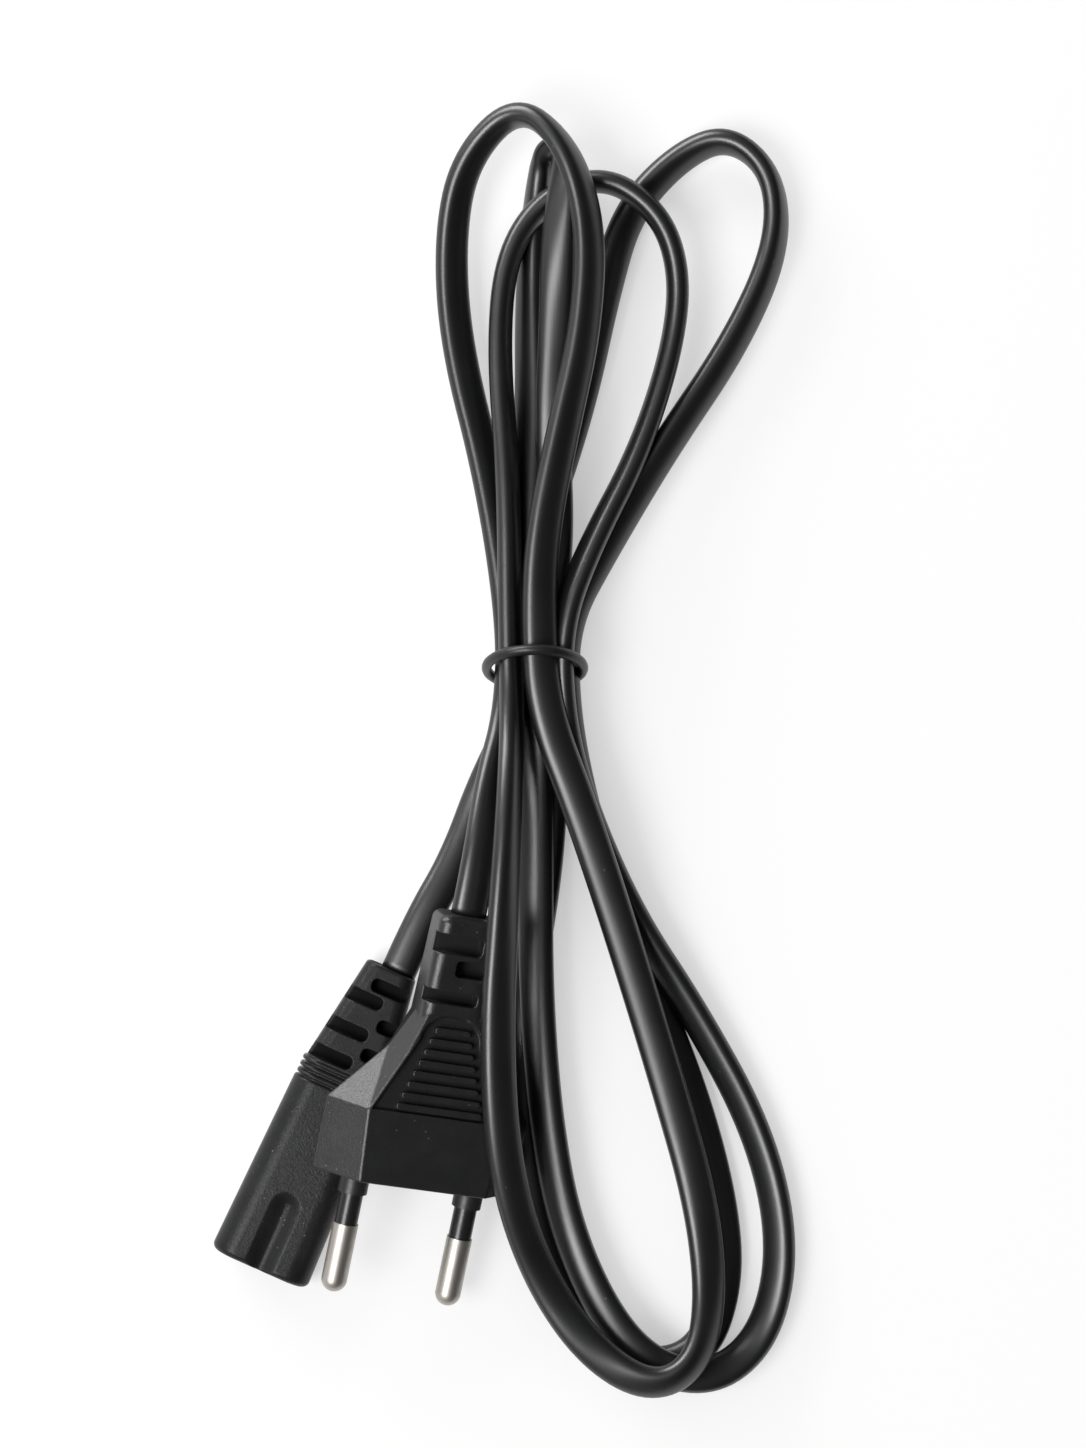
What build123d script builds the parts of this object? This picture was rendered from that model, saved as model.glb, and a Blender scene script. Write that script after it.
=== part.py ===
"""Power cord: flat two-core flex in a hank, a two-pin mains plug, a two-pole appliance connector and a tie ring.

Sizes are in mm. The part lies on the floor z = 0, with the top loops of the hank towards +Y.
"""

import math
import os

from build123d import *

os.makedirs("parts", exist_ok=True)

# Flex
CORD_DIA = 4.0
WIRE_DIA = 1.8
WIRE_GAP = 0.1
STRAND_DIA = 1.0
WIRE_BEND = 4.0
ARC_SHARE = 0.45
LEAD = 9.0

# Where the plug and the connector lie: middle of the front face, and turns in degrees
PLUG_AT = (-14.1, -66.8, 10.8)
PLUG_YAW = -11.8
PLUG_PITCH = 6.5
PLUG_ROLL = 18.0
CONNECTOR_AT = (-38.4, -81.1)
CONNECTOR_YAW = -24.0

# Plug body
PLUG_LENGTH = 45.0
PRISM_LENGTH = 11.5
NECK_Y = 20.8
RELIEF_Y = 27.0
PLUG_HALF_WIDTH = 15.6
PLUG_TOP_HALF = 10.2
PLUG_HALF_HEIGHT = 6.0
RELIEF_WIDTH = 10.4
RELIEF_HEIGHT = 8.6
TAIL_WIDTH = 9.4
TAIL_HEIGHT = 7.4
RELIEF_ROUND = 1.8
TOP_DROP = (PLUG_HALF_HEIGHT - RELIEF_HEIGHT / 2) / (RELIEF_Y - PRISM_LENGTH)
NECK_HALF_HEIGHT = PLUG_HALF_HEIGHT - TOP_DROP * (NECK_Y - PRISM_LENGTH)
NECK_HALF_WIDTH = 8.2
NECK_TOP_HALF = 6.6

# Grip panel on both broad sides of the plug
PANEL_DEPTH = 0.7
PANEL_START = 0.1
PANEL_LENGTH = 16.4
PANEL_HALF = 9.3
PANEL_TIP_HALF = 4.2
RIB_COUNT = 8
RIB_PITCH = 1.75
RIB_WIDTH = 0.8
RIB_FIRST = 0.9
RIB_MARGIN = 2.5

# Slots of the plug's strain relief: across from, across to, from tail, to tail
PLUG_SLOTS = (
    (-6.5, 2.2, 4.6, 7.2),
    (-1.4, 3.7, 8.6, 11.2),
    (-6.5, 3.0, 13.3, 15.9),
)
SLOT_DEPTH = 1.7

# Plug pins
PIN_SPACING = 18.6
PIN_DIA = 4.0
PIN_LENGTH = 19.0
PIN_METAL = 11.0
PIN_CORE_DIA = 2.8
SLEEVE_DIA = 3.6
SLEEVE_INSIDE = 2.0
COLLAR_DIA = 4.6
COLLAR_LENGTH = 3.0
BRIDGE_WIDTH = 24.6
BRIDGE_HEIGHT = 7.0
BRIDGE_DEPTH = 8.0
FLANGE_DIA = 4.8
FLANGE_FROM = 3.5
FLANGE_LENGTH = 1.5
CRIMP_DIA = 3.2
CRIMP_LENGTH = 4.5
WIRE_RUN_Y = 25.0
WIRE_BEND_Y = 14.8

# Connector
CONNECTOR_LENGTH = 51.0
NOSE_LENGTH = 30.3
NOSE_WIDTH = 16.3
NOSE_BACK_WIDTH = 14.6
NOSE_HEIGHT = 8.4
NOSE_BACK_HEIGHT = 8.2
NOSE_ROUND = 3.9
NOSE_BACK_ROUND = 3.7
NECK_WIDTH = 13.2
NECK_HEIGHT = 7.2
RING_COUNT = 3
RING_PITCH = 1.1
RING_THICK = 0.65
RING_WIDTH = 14.4
RING_HEIGHT = 8.2
CONNECTOR_RELIEF_Y = 33.4
CONNECTOR_RELIEF_WIDTH = 13.6
CONNECTOR_RELIEF_HEIGHT = 7.8
CONNECTOR_TAIL_WIDTH = 8.2
CONNECTOR_TAIL_HEIGHT = 6.4
WAIST_LENGTH = 12.3
WAIST_WIDTH = 2.6
WAIST_DEPTH = 1.3
CONTACT_SPACING = 8.6
PIN_HOLE_DIA = 3.2
CORE_WIDTH = 13.4
CORE_HEIGHT = 5.6
CORE_LENGTH = 17.0
LEDGE = 2.5
CONTACT_DIA = 3.8
CONTACT_BORE = 2.4
CONTACT_LENGTH = 10.5
CONTACT_SLIT = 0.5
CONTACT_CRIMP_DIA = 3.0
CONTACT_CRIMP_LENGTH = 5.0
CONNECTOR_WIRE_BEND_Y = 24.0
CONNECTOR_WIRE_RUN_Y = 30.0

# Slots of the connector's strain relief, distances from the tail
CONNECTOR_LEFT_SLOTS = (5.7, 10.9, 16.0)
CONNECTOR_RIGHT_SLOTS = (3.1, 8.4, 13.6)
CONNECTOR_SLOT_LONG = 2.3
CONNECTOR_LEFT_END = 0.4
CONNECTOR_RIGHT_END = -1.2
CONNECTOR_SLOT_OUTER = 8.0
CONNECTOR_SLOT_FLOOR = 2.0

# Tie ring
RING_AT = (4.75, 12.6, 9.25)
RING_HALF_WIDTH = 8.15
RING_HALF_TALL = 8.75
RING_DIA = 1.8
RING_LEAN = 18.0

plug_place = Pos(*PLUG_AT) * Rot(Z=PLUG_YAW) * Rot(X=PLUG_PITCH) * Rot(Y=PLUG_ROLL)
connector_place = Pos(*CONNECTOR_AT, NOSE_HEIGHT / 2) * Rot(Z=CONNECTOR_YAW)

# Route of the flex from the plug to the connector, strand by strand through the tie ring
plug_end = (plug_place * Pos(0, PLUG_LENGTH, 0)).position
plug_lead = (plug_place * Pos(0, PLUG_LENGTH + LEAD, 0)).position
connector_end = (connector_place * Pos(0, CONNECTOR_LENGTH, 0)).position
connector_lead = (connector_place * Pos(0, CONNECTOR_LENGTH + LEAD, 0)).position
FIRST_TOP_LOOP = [
    (-2.2, -4.4, 12.6), (-0.1, 5.8, 7.7), (-0.2, 19.5, 7.5), (-2.4, 41.9, 7.2), (-7.1, 63.1, 5.5),
    (-8.7, 79.5, 5.0), (-6.3, 91.8, 7.0), (2.1, 100.2, 11.0), (9.8, 93.5, 15.0), (14.0, 80.7, 14.8),
    (12.9, 64.7, 12.8), (9.1, 49.3, 13.0), (5.7, 33.0, 13.7), (4.6, 19.3, 13.6),
]
FIRST_BOTTOM_LOOP = [
    (5.1, 5.7, 13.9), (11.6, -9.7, 13.4), (18.7, -30.4, 10.2), (25.5, -52.3, 7.4), (30.8, -71.1, 6.4),
    (32.2, -85.8, 7.5), (29.9, -95.6, 10.4), (22.6, -99.2, 10.8), (13.0, -93.1, 10.6), (4.8, -80.6, 11.0),
    (0.1, -64.8, 16.3), (-1.2, -44.5, 19.4), (0.2, -21.5, 20.6), (0.9, -7.0, 18.4),
]
SECOND_TOP_LOOP = [
    (1.1, 5.8, 12.2), (0.7, 19.4, 11.7), (0.7, 41.7, 11.0), (-1.0, 62.2, 6.8), (0.2, 77.1, 6.2),
    (6.3, 86.2, 6.3), (15.7, 89.4, 6.3), (24.2, 83.4, 6.2), (27.4, 74.1, 5.0), (26.2, 62.3, 5.0),
    (21.1, 46.5, 7.8), (13.3, 31.6, 10.8), (8.3, 19.4, 11.6),
]
SECOND_BOTTOM_LOOP = [
    (8.5, 5.8, 11.3), (11.9, -7.9, 8.8), (19.6, -25.9, 6.2), (29.5, -40.9, 3.0), (39.8, -59.8, 2.0),
    (43.8, -77.1, 2.0), (41.3, -91.2, 2.2), (33.7, -98.3, 5.0), (24.2, -97.1, 6.7), (16.4, -89.8, 6.4),
    (9.7, -75.1, 5.5), (6.6, -57.9, 6.2), (5.2, -37.6, 6.4), (5.1, -18.9, 6.8), (4.8, -6.4, 7.8),
]
THIRD_TOP_LOOP = [
    (4.6, 5.8, 8.6), (4.4, 19.4, 8.6), (3.2, 35.7, 7.6), (4.1, 51.4, 4.8), (3.8, 68.9, 2.4),
    (3.5, 80.7, 2.0), (4.3, 90.5, 2.4), (5.2, 96.5, 4.2), (10.3, 96.3, 8.8), (11.1, 90.3, 10.6),
    (9.6, 80.1, 10.8), (8.8, 67.4, 9.4), (7.7, 49.6, 8.6), (8.2, 33.4, 6.2), (6.7, 19.5, 4.45),
]
THIRD_BOTTOM_LOOP = [
    (6.9, 5.8, 4.4), (7.6, -8.0, 2.6), (8.0, -22.2, 2.1), (5.7, -37.9, 2.0), (2.5, -53.6, 2.0),
    (3.0, -69.3, 2.0), (7.1, -82.6, 2.0), (13.4, -92.0, 2.0), (22.8, -97.5, 2.0), (31.1, -94.7, 2.0),
    (34.7, -84.2, 2.0), (34.1, -72.4, 2.0), (30.2, -56.7, 2.0), (23.6, -39.4, 2.0), (16.0, -22.2, 2.1),
    (11.8, -8.0, 3.9),
]
FOURTH_TOP_LOOP = [
    (9.7, 5.8, 7.4), (9.6, 19.5, 7.5), (15.4, 31.0, 6.4), (25.1, 47.3, 4.0), (36.1, 63.4, 2.2),
    (42.7, 78.3, 2.0), (42.1, 89.8, 2.0), (35.0, 96.2, 2.0), (27.2, 92.8, 2.0), (19.3, 84.3, 2.0),
    (15.7, 72.0, 2.0), (12.1, 55.6, 2.0), (7.4, 40.6, 2.0), (3.2, 29.6, 3.0), (2.7, 19.5, 4.6),
]
CONNECTOR_END = [(2.4, 5.8, 4.5), (-4.2, -4.9, 2.6), (-8.9, -17.4, 3.2)]
LOOPS = [FIRST_TOP_LOOP, FIRST_BOTTOM_LOOP, SECOND_TOP_LOOP, SECOND_BOTTOM_LOOP]
LOOPS += [THIRD_TOP_LOOP, THIRD_BOTTOM_LOOP, FOURTH_TOP_LOOP, CONNECTOR_END]
route = [plug_end, plug_lead]
route += [Vector(*point) for loop in LOOPS for point in loop]
route += [connector_lead, connector_end]


def arc_radii(points):
    """The radius of the tangent arc at each corner of a route."""
    radii = []
    for before, corner, after in zip(points, points[1:], points[2:]):
        arriving = Vector(corner) - Vector(before)
        leaving = Vector(after) - Vector(corner)
        half_turn = math.radians(arriving.get_angle(leaving)) / 2
        radii.append(ARC_SHARE * min(arriving.length, leaving.length) / math.tan(half_turn))
    return radii


def hexagon(half_width, top_half, half_height):
    """The corners of the plug's six-sided section."""
    right = [(top_half, half_height), (half_width, 0), (top_half, -half_height)]
    return right + [(-x, -z) for x, z in right]


def at_y(y):
    """The plane across the length at y, with x across and y up."""
    return Plane.XZ.offset(-y)


def save(piece, place, name):
    """Write one solid at its place under its name."""
    placed = place * piece
    placed.label = name
    export_step(placed, f"parts/{name}.step")


# Pins: a round-tipped metal pin with a thinner core, a flange held in the bridge and a crimp
pin_half = PIN_DIA / 2
core_half = PIN_CORE_DIA / 2
flange_half = FLANGE_DIA / 2
crimp_half = CRIMP_DIA / 2
neck_y = PIN_METAL - PIN_LENGTH
flange_end = FLANGE_FROM + FLANGE_LENGTH
crimp_end = BRIDGE_DEPTH + CRIMP_LENGTH
strand_half = STRAND_DIA / 2
with BuildPart() as pin:
    with BuildSketch(Plane.XY):
        with BuildLine():
            RadiusArc((0, -PIN_LENGTH), (pin_half, pin_half - PIN_LENGTH), -pin_half)
            Polyline(
                (pin_half, pin_half - PIN_LENGTH),
                (pin_half, neck_y),
                (core_half, neck_y),
                (core_half, FLANGE_FROM),
                (flange_half, FLANGE_FROM),
                (flange_half, flange_end),
                (core_half, flange_end),
                (core_half, BRIDGE_DEPTH),
                (crimp_half, BRIDGE_DEPTH),
                (crimp_half, crimp_end),
                (strand_half, crimp_end),
                (strand_half, BRIDGE_DEPTH + 1),
                (0, BRIDGE_DEPTH + 1),
                (0, -PIN_LENGTH),
            )
        make_face()
    revolve(axis=Axis.Y)

# Insulating sleeve between the collar and the bare end of a pin
with BuildPart() as pin_sleeve:
    with BuildSketch(at_y(neck_y)):
        Circle(SLEEVE_DIA / 2)
        Circle(core_half, mode=Mode.SUBTRACT)
    extrude(amount=-(SLEEVE_INSIDE - neck_y))

# Bridge: the hard insert that holds both pins, with a collar round each pin
pin_spots = [(-PIN_SPACING / 2, 0), (PIN_SPACING / 2, 0)]
with BuildPart() as pin_bridge:
    with BuildSketch(at_y(0)):
        SlotOverall(BRIDGE_WIDTH, BRIDGE_HEIGHT)
    extrude(amount=-BRIDGE_DEPTH)
    with BuildSketch(at_y(-COLLAR_LENGTH)):
        with Locations(*pin_spots):
            Circle(COLLAR_DIA / 2)
    extrude(amount=-COLLAR_LENGTH)
    with BuildSketch(at_y(-COLLAR_LENGTH)):
        with Locations(*pin_spots):
            Circle(SLEEVE_DIA / 2)
    extrude(amount=-(COLLAR_LENGTH + SLEEVE_INSIDE), mode=Mode.SUBTRACT)
    with BuildSketch(at_y(SLEEVE_INSIDE)):
        with Locations(*pin_spots):
            Circle(core_half)
    extrude(amount=-(BRIDGE_DEPTH - SLEEVE_INSIDE), mode=Mode.SUBTRACT)
    with BuildSketch(at_y(FLANGE_FROM)):
        with Locations(*pin_spots):
            Circle(flange_half)
    extrude(amount=-FLANGE_LENGTH, mode=Mode.SUBTRACT)

# Wires from the end of the flex to the crimps of the pins, one each side
wire_side = (WIRE_DIA + WIRE_GAP) / 2
with BuildPart() as plug_wire:
    with BuildLine() as plug_wire_path:
        FilletPolyline(
            (wire_side, PLUG_LENGTH, 0),
            (wire_side, WIRE_RUN_Y, 0),
            (PIN_SPACING / 2, WIRE_BEND_Y, 0),
            (PIN_SPACING / 2, crimp_end, 0),
            radius=WIRE_BEND,
        )
    with BuildSketch(Plane.XZ.offset(-PLUG_LENGTH)):
        with Locations((wire_side, 0)):
            Circle(WIRE_DIA / 2)
    sweep(path=plug_wire_path.line)
    with BuildSketch(at_y(crimp_end)):
        with Locations((PIN_SPACING / 2, 0)):
            Circle(strand_half)
    extrude(amount=CRIMP_LENGTH - 1)

# Plug body: six-sided front, facets falling to a slotted strain relief, ribbed panel on both broad sides
stations = [
    (0, PLUG_HALF_WIDTH, PLUG_TOP_HALF, PLUG_HALF_HEIGHT),
    (PRISM_LENGTH, PLUG_HALF_WIDTH, PLUG_TOP_HALF, PLUG_HALF_HEIGHT),
    (NECK_Y, NECK_HALF_WIDTH, NECK_TOP_HALF, NECK_HALF_HEIGHT),
    (RELIEF_Y, RELIEF_WIDTH / 2, RELIEF_WIDTH / 2 - 0.8, RELIEF_HEIGHT / 2),
]
panel_slope = math.degrees(math.atan(TOP_DROP))
with BuildPart() as plug_body:
    for y, half_width, top_half, half_height in stations:
        with BuildSketch(at_y(y)):
            Polygon(*hexagon(half_width, top_half, half_height), align=None)
    loft(ruled=True)
    with BuildSketch(at_y(RELIEF_Y)):
        RectangleRounded(RELIEF_WIDTH, RELIEF_HEIGHT, RELIEF_ROUND)
    with BuildSketch(at_y(PLUG_LENGTH)):
        RectangleRounded(TAIL_WIDTH, TAIL_HEIGHT, RELIEF_ROUND)
    loft()
    for side in (0, 180):
        panel = Rot(Y=side) * Pos(0, PRISM_LENGTH, PLUG_HALF_HEIGHT) * Rot(X=-panel_slope)
        with BuildSketch(Plane(panel)):
            with BuildLine():
                Polyline(
                    (-PANEL_TIP_HALF, PANEL_LENGTH - PANEL_TIP_HALF),
                    (-PANEL_HALF, PANEL_START),
                    (PANEL_HALF, PANEL_START),
                    (PANEL_TIP_HALF, PANEL_LENGTH - PANEL_TIP_HALF),
                )
                ThreePointArc(
                    (PANEL_TIP_HALF, PANEL_LENGTH - PANEL_TIP_HALF),
                    (0, PANEL_LENGTH),
                    (-PANEL_TIP_HALF, PANEL_LENGTH - PANEL_TIP_HALF),
                )
            make_face()
        extrude(amount=-PANEL_DEPTH, mode=Mode.SUBTRACT)
        with BuildSketch(Plane(panel).offset(-PANEL_DEPTH)):
            for rib in range(RIB_COUNT):
                along = RIB_FIRST + rib * RIB_PITCH
                share = (along - PANEL_START) / (PANEL_LENGTH - PANEL_TIP_HALF)
                half = PANEL_HALF - share * (PANEL_HALF - PANEL_TIP_HALF) - RIB_MARGIN
                with Locations((0, along)):
                    RectangleRounded(2 * half, RIB_WIDTH, RIB_WIDTH * 0.45)
        extrude(amount=PANEL_DEPTH)
        for left, right, near, far in PLUG_SLOTS:
            middle = Pos((left + right) / 2, PLUG_LENGTH - (near + far) / 2, RELIEF_HEIGHT / 2)
            with Locations(Rot(Y=side) * middle):
                Box(right - left, far - near, 2 * SLOT_DEPTH, mode=Mode.SUBTRACT)
    with BuildSketch(at_y(0)):
        SlotOverall(BRIDGE_WIDTH, BRIDGE_HEIGHT)
    extrude(amount=-BRIDGE_DEPTH, mode=Mode.SUBTRACT)
    with BuildSketch(at_y(BRIDGE_DEPTH)):
        with Locations(*pin_spots):
            Circle(crimp_half)
    extrude(amount=-CRIMP_LENGTH, mode=Mode.SUBTRACT)
    add(plug_wire.part, mode=Mode.SUBTRACT)
    add(plug_wire.part.mirror(Plane.YZ), mode=Mode.SUBTRACT)

# Contacts of the connector: a slit spring sleeve with a crimp behind it
contact_end = LEDGE + CONTACT_LENGTH
contact_crimp_end = contact_end + CONTACT_CRIMP_LENGTH
with BuildPart() as contact:
    with BuildSketch(at_y(LEDGE)):
        Circle(CONTACT_DIA / 2)
        Circle(CONTACT_BORE / 2, mode=Mode.SUBTRACT)
        with Locations((0, CONTACT_DIA / 2)):
            Rectangle(CONTACT_SLIT, CONTACT_DIA, mode=Mode.SUBTRACT)
    extrude(amount=-CONTACT_LENGTH)
    with BuildSketch(at_y(contact_end)):
        Circle(CONTACT_CRIMP_DIA / 2)
    extrude(amount=-CONTACT_CRIMP_LENGTH)
    with BuildSketch(at_y(contact_end + 1)):
        Circle(strand_half)
    extrude(amount=-CONTACT_CRIMP_LENGTH, mode=Mode.SUBTRACT)

# Core of the connector: the hard insert with two pin holes and the chambers of the contacts
contact_spots = [(-CONTACT_SPACING / 2, 0), (CONTACT_SPACING / 2, 0)]
with BuildPart() as connector_core:
    with BuildSketch(at_y(0)):
        SlotOverall(CORE_WIDTH, CORE_HEIGHT)
    extrude(amount=-CORE_LENGTH)
    with BuildSketch(at_y(0)):
        with Locations(*contact_spots):
            Circle(PIN_HOLE_DIA / 2)
    extrude(amount=-LEDGE, mode=Mode.SUBTRACT)
    with BuildSketch(at_y(LEDGE)):
        with Locations(*contact_spots):
            Circle(CONTACT_DIA / 2)
    extrude(amount=-(CORE_LENGTH - LEDGE), mode=Mode.SUBTRACT)

# Wires from the end of the flex to the contacts
with BuildPart() as connector_wire:
    with BuildLine() as connector_wire_path:
        FilletPolyline(
            (wire_side, CONNECTOR_LENGTH, 0),
            (wire_side, CONNECTOR_WIRE_RUN_Y, 0),
            (CONTACT_SPACING / 2, CONNECTOR_WIRE_BEND_Y, 0),
            (CONTACT_SPACING / 2, contact_crimp_end, 0),
            radius=WIRE_BEND,
        )
    with BuildSketch(at_y(CONNECTOR_LENGTH)):
        with Locations((wire_side, 0)):
            Circle(WIRE_DIA / 2)
    sweep(path=connector_wire_path.line)
    with BuildSketch(at_y(contact_crimp_end)):
        with Locations((CONTACT_SPACING / 2, 0)):
            Circle(strand_half)
    extrude(amount=CONTACT_CRIMP_LENGTH - 1)

# Connector body: waisted nose, three rings, strain relief with staggered slots
with BuildPart() as connector_body:
    with BuildSketch(at_y(0)):
        RectangleRounded(NOSE_WIDTH, NOSE_HEIGHT, NOSE_ROUND)
    with BuildSketch(at_y(NOSE_LENGTH)):
        RectangleRounded(NOSE_BACK_WIDTH, NOSE_BACK_HEIGHT, NOSE_BACK_ROUND)
    loft()
    with BuildSketch(at_y(NOSE_LENGTH)):
        RectangleRounded(NECK_WIDTH, NECK_HEIGHT, NECK_HEIGHT * 0.4)
    extrude(amount=-(CONNECTOR_RELIEF_Y - NOSE_LENGTH))
    for ring in range(RING_COUNT):
        with BuildSketch(at_y(NOSE_LENGTH + 0.4 + ring * RING_PITCH)):
            RectangleRounded(RING_WIDTH, RING_HEIGHT, RING_HEIGHT * 0.4)
        extrude(amount=-RING_THICK)
    with BuildSketch(at_y(CONNECTOR_RELIEF_Y)):
        RectangleRounded(CONNECTOR_RELIEF_WIDTH, CONNECTOR_RELIEF_HEIGHT, CONNECTOR_RELIEF_HEIGHT * 0.35)
    with BuildSketch(at_y(CONNECTOR_LENGTH)):
        RectangleRounded(CONNECTOR_TAIL_WIDTH, CONNECTOR_TAIL_HEIGHT, CONNECTOR_TAIL_HEIGHT * 0.35)
    loft()
    for side in (0, 180):
        with BuildSketch(Plane(Rot(Y=side) * Pos(0, 0, NOSE_HEIGHT / 2))):
            with Locations((0, WAIST_LENGTH / 2 - WAIST_WIDTH / 2)):
                SlotOverall(WAIST_LENGTH + WAIST_WIDTH, WAIST_WIDTH, rotation=90)
        extrude(amount=-WAIST_DEPTH, mode=Mode.SUBTRACT)
        slots = [(-CONNECTOR_SLOT_OUTER, CONNECTOR_LEFT_END, d) for d in CONNECTOR_LEFT_SLOTS]
        slots += [(CONNECTOR_RIGHT_END, CONNECTOR_SLOT_OUTER, d) for d in CONNECTOR_RIGHT_SLOTS]
        for left, right, from_tail in slots:
            across = (left + right) / 2
            middle = Pos(across, CONNECTOR_LENGTH - from_tail, CONNECTOR_SLOT_FLOOR + NOSE_HEIGHT / 2)
            with Locations(Rot(Y=side) * middle):
                Box(right - left, CONNECTOR_SLOT_LONG, NOSE_HEIGHT, mode=Mode.SUBTRACT)
    with BuildSketch(at_y(0)):
        SlotOverall(CORE_WIDTH, CORE_HEIGHT)
    extrude(amount=-CORE_LENGTH, mode=Mode.SUBTRACT)
    with BuildSketch(at_y(CORE_LENGTH)):
        with Locations(*contact_spots):
            Circle(CONTACT_CRIMP_DIA / 2)
    extrude(amount=CORE_LENGTH - contact_crimp_end, mode=Mode.SUBTRACT)
    add(connector_wire.part, mode=Mode.SUBTRACT)
    add(connector_wire.part.mirror(Plane.YZ), mode=Mode.SUBTRACT)

# Tie ring round the waist of the hank
with BuildPart() as tie_ring:
    with BuildLine(Plane.XZ) as ring_path:
        EllipticalCenterArc((0, 0), RING_HALF_WIDTH, RING_HALF_TALL, arc_size=360)
    with BuildSketch(Plane(origin=(RING_HALF_WIDTH, 0, 0), z_dir=(0, 0, 1))):
        Circle(RING_DIA / 2)
    sweep(path=ring_path.line)

# Flex: one tube along straight runs and tangent arcs
radii = arc_radii(route)
with BuildPart() as flex_cord:
    with BuildLine() as cord_path:
        FilletPolyline(*route, radius=radii)
    with BuildSketch(Plane(origin=plug_end, z_dir=plug_lead - plug_end)):
        Circle(CORD_DIA / 2)
    sweep(path=cord_path.line)

for side, name in ((-1, "left"), (1, "right")):
    save(pin.part, plug_place * Pos(side * PIN_SPACING / 2, 0, 0), f"plug_pin_{name}")
    save(pin_sleeve.part, plug_place * Pos(side * PIN_SPACING / 2, 0, 0), f"pin_sleeve_{name}")
    save(contact.part, connector_place * Pos(side * CONTACT_SPACING / 2, 0, 0), f"contact_{name}")
save(pin_bridge.part, plug_place, "pin_bridge")
save(plug_body.part, plug_place, "plug_body")
save(plug_wire.part, plug_place, "plug_wire_brown")
save(plug_wire.part.mirror(Plane.YZ), plug_place, "plug_wire_blue")
save(connector_core.part, connector_place, "connector_core")
save(connector_body.part, connector_place, "connector_body")
save(connector_wire.part, connector_place, "connector_wire_brown")
save(connector_wire.part.mirror(Plane.YZ), connector_place, "connector_wire_blue")
save(tie_ring.part, Pos(*RING_AT) * Rot(X=-RING_LEAN), "tie_ring")
save(flex_cord.part, Pos(0, 0, 0), "flex_cord")

length = sum(edge.length for edge in cord_path.edges())
section = math.pi * CORD_DIA**2 / 4
print("cord arc radii", [round(radius, 1) for radius in radii])
print("cord length", round(length), "tube volume", round(flex_cord.part.volume))
print("section times length", round(section * length))
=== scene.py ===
"""A mains lead in a hank, dressed around its CAD frame: flat flex, tie ring, plug and appliance connector.

Sizes in the tables below are in millimetres, turns in degrees. Meshes are in metres.
"""

import math

import bmesh
import bpy
from bpy.props import FloatProperty, FloatVectorProperty, IntProperty, PointerProperty
from mathutils import Matrix, Vector


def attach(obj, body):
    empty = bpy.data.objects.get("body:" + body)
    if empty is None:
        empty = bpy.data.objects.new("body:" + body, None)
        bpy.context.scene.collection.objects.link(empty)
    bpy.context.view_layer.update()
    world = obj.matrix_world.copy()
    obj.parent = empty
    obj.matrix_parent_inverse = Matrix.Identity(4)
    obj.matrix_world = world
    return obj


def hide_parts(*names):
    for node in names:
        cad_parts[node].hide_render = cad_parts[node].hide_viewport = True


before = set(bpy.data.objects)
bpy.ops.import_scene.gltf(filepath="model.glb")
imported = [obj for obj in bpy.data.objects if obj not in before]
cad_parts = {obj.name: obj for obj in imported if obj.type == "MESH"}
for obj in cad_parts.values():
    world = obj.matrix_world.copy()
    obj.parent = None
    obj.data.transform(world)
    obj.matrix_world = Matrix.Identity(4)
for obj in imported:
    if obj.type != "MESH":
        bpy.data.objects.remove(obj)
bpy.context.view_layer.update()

bl_info = {
    "name": "Mains Lead",
    "version": (1, 0, 0),
    "blender": (4, 5, 0),
    "location": "View3D > Sidebar > Lead",
    "description": "Dresses a mains lead in a hank with its flex, tie ring, plug and appliance connector",
    "category": "Object",
}

MM = 0.001
BODY = "root"


def placed(at, yaw, pitch=0.0, roll=0.0):
    """The matrix from a piece's own millimetres to the lead's frame."""
    turn = Matrix.Rotation(math.radians(yaw), 4, "Z")
    turn = turn @ Matrix.Rotation(math.radians(pitch), 4, "X")
    turn = turn @ Matrix.Rotation(math.radians(roll), 4, "Y")
    return Matrix.Translation(Vector(at) * MM) @ turn @ Matrix.Scale(MM, 4)


# Places and lengths of the plug, the connector and the tie ring
PLUG_PLACE = placed((-14.1, -66.8, 10.8), -11.8, 6.5, 18.0)
PLUG_LENGTH = 45.0
PLUG_TAIL = 42.5
CONNECTOR_PLACE = placed((-38.4, -81.1, 4.2), -24.0)
CONNECTOR_LENGTH = 51.0
TIE_PLACE = placed((4.75, 12.6, 9.25), 0.0, -18.0)

# Ends of the flex: straight length out of a moulding, start inside its tail,
# sideways place in the connector, rolls
STRAIGHT_END = 9.0
INSIDE_TAIL = -0.6
CONNECTOR_SHIFT = 1.1
PLUG_ROLLS = (18, 20)
CONNECTOR_ROLL = 180

# Fineness of the flex's section and path, and distances within which two points are one
SECTION_STEPS = 32
PATH_STEPS = 10
SAME_RIM = 0.002 * MM

# Fineness of the draw lines around and along the flex
DRAW_AROUND = 9
DRAW_ALONG = 30

# Sides of the tie ring's section and steps round it
TIE_SIDES = 14
TIE_STEPS = 72

# Last softening of a moulding: points that are one, flat angle, sharp angle and its rounding, shading angle
NEAR_POINTS = 0.004
FLAT_ANGLE = math.radians(0.4)
SHARP_ANGLE = math.radians(34)
LAST_ROUNDING = 0.16
SHADING_ANGLE = math.radians(50)
CONNECTOR_WELD = 0.003

# Looks of the mouldings: radius of the edges in the shading, sheen of each
SOFT_EDGES = 0.32
PLUG_SHEEN = 0.55
CONNECTOR_SHEEN = 0.2

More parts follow.
